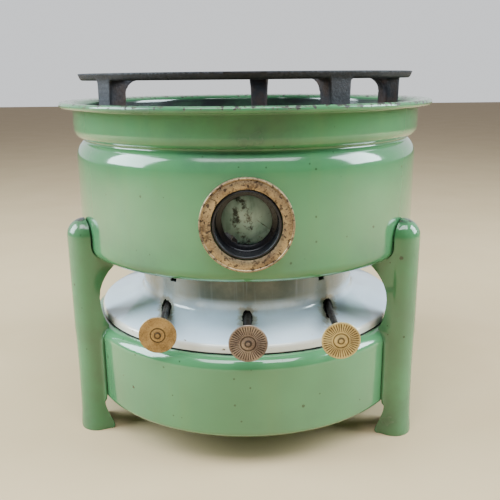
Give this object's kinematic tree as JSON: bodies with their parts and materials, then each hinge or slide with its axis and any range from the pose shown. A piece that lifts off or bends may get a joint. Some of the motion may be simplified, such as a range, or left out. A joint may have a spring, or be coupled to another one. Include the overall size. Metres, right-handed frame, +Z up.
{
  "type": "paraffin stove",
  "caption": "Three-wick paraffin cooking stove: round green-enamelled drum on three pressed legs, mica window, brass wick knobs and a cast-iron pot rest that lifts off.",
  "frame": {"origin": "on the drum's vertical axis, at the level of the table under the feet", "axes": "+Z up; the window and the three knobs face -Y; +X is to the right of a person facing the knobs"},
  "size_m": [0.28, 0.2842, 0.2636],
  "materials": {
    "green_enamel": "gloss vitreous enamel, chipped",
    "white_enamel": "gloss vitreous enamel",
    "brass": "aged",
    "bezel_brass": "mottled and pitted",
    "knob_brass": "stamped and worn",
    "bare_steel": "plain",
    "black_steel": "blackened",
    "sooty_steel": "sooty",
    "spindle_steel": "dark, oily",
    "cast_iron": "rough cast, touches of rust",
    "mica": "milky, sooty",
    "cotton": "woven",
    "fibre": "fibre board"
  },
  "bodies": {
    "base": {"tank_shell": "green_enamel", "tank_cover": "bare_steel", "plate_gasket": "fibre", "burner_plate": "white_enamel", "leg_left": "green_enamel", "leg_right": "green_enamel", "leg_rear": "green_enamel", "wick_tube_left": "bare_steel", "wick_tube_centre": "bare_steel", "wick_tube_right": "bare_steel", "gear_housing_left": "bare_steel", "gear_housing_centre": "bare_steel", "gear_housing_right": "bare_steel", "draught_plate": "black_steel", "flame_cap_left": "black_steel", "flame_cap_centre": "black_steel", "flame_cap_right": "black_steel", "filler_neck": "bare_steel"},
    "mantle": {"mantle_shell": "green_enamel", "chimney_liner": "sooty_steel", "ledge_ring": "sooty_steel", "window_bezel": "bezel_brass", "window_tube": "black_steel", "mica_retainer": "black_steel", "mica_pane": "mica"},
    "pot_rest": {"pot_rest": "cast_iron"},
    "filler_gasket": {"filler_gasket": "fibre"},
    "filler_cap": {"filler_cap": "brass"},
    "spindle_left": {"spindle_left": "spindle_steel", "wick_wheels_left": "bare_steel", "knob_left": "knob_brass"},
    "wick_left": {"wick_left": "cotton"},
    "spindle_centre": {"spindle_centre": "spindle_steel", "wick_wheels_centre": "bare_steel", "knob_centre": "knob_brass"},
    "wick_centre": {"wick_centre": "cotton"},
    "spindle_right": {"spindle_right": "spindle_steel", "wick_wheels_right": "bare_steel", "knob_right": "knob_brass"},
    "wick_right": {"wick_right": "cotton"}
  },
  "joints": [
    {"name": "mantle_lift", "type": "slide", "parent": "base", "child": "mantle", "axis": [0, 0, 1], "range_m": [0, 0.06]},
    {"name": "pot_rest_lift", "type": "slide", "parent": "mantle", "child": "pot_rest", "axis": [0, 0, 1], "range_m": [0, 0.05]},
    {"name": "spindle_left_turn", "type": "hinge", "parent": "base", "child": "spindle_left", "pos_m": [-0.0594, 0, 0.097], "axis": [0, 1, 0], "range_deg": [-150, 175]},
    {"name": "wick_left_rise", "type": "slide", "parent": "base", "child": "wick_left", "axis": [0, 0, 1], "range_m": [-0.0117, 0.0137]},
    {"name": "spindle_centre_turn", "type": "hinge", "parent": "base", "child": "spindle_centre", "pos_m": [0, 0, 0.097], "axis": [0, 1, 0], "range_deg": [-150, 175]},
    {"name": "wick_centre_rise", "type": "slide", "parent": "base", "child": "wick_centre", "axis": [0, 0, 1], "range_m": [-0.0117, 0.0137]},
    {"name": "spindle_right_turn", "type": "hinge", "parent": "base", "child": "spindle_right", "pos_m": [0.0594, 0, 0.097], "axis": [0, 1, 0], "range_deg": [-150, 175]},
    {"name": "wick_right_rise", "type": "slide", "parent": "base", "child": "wick_right", "axis": [0, 0, 1], "range_m": [-0.0117, 0.0137]},
    {"name": "filler_cap_turn", "type": "hinge", "parent": "filler_gasket", "child": "filler_cap", "pos_m": [0.06218, 0.07959, 0.106], "axis": [0, 0, 1], "range_deg": [0, 725]},
    {"name": "filler_cap_rise", "type": "slide", "parent": "base", "child": "filler_gasket", "axis": [0, 0, 1], "range_m": [0, 0.003]}
  ],
  "couplings": [
    {"joint": "spindle_left_turn", "follows": "wick_left_rise", "rad_per_m": 222.22},
    {"joint": "spindle_centre_turn", "follows": "wick_centre_rise", "rad_per_m": 222.22},
    {"joint": "spindle_right_turn", "follows": "wick_right_rise", "rad_per_m": 222.22},
    {"joint": "filler_cap_turn", "follows": "filler_cap_rise", "rad_per_m": 4188.8}
  ]
}
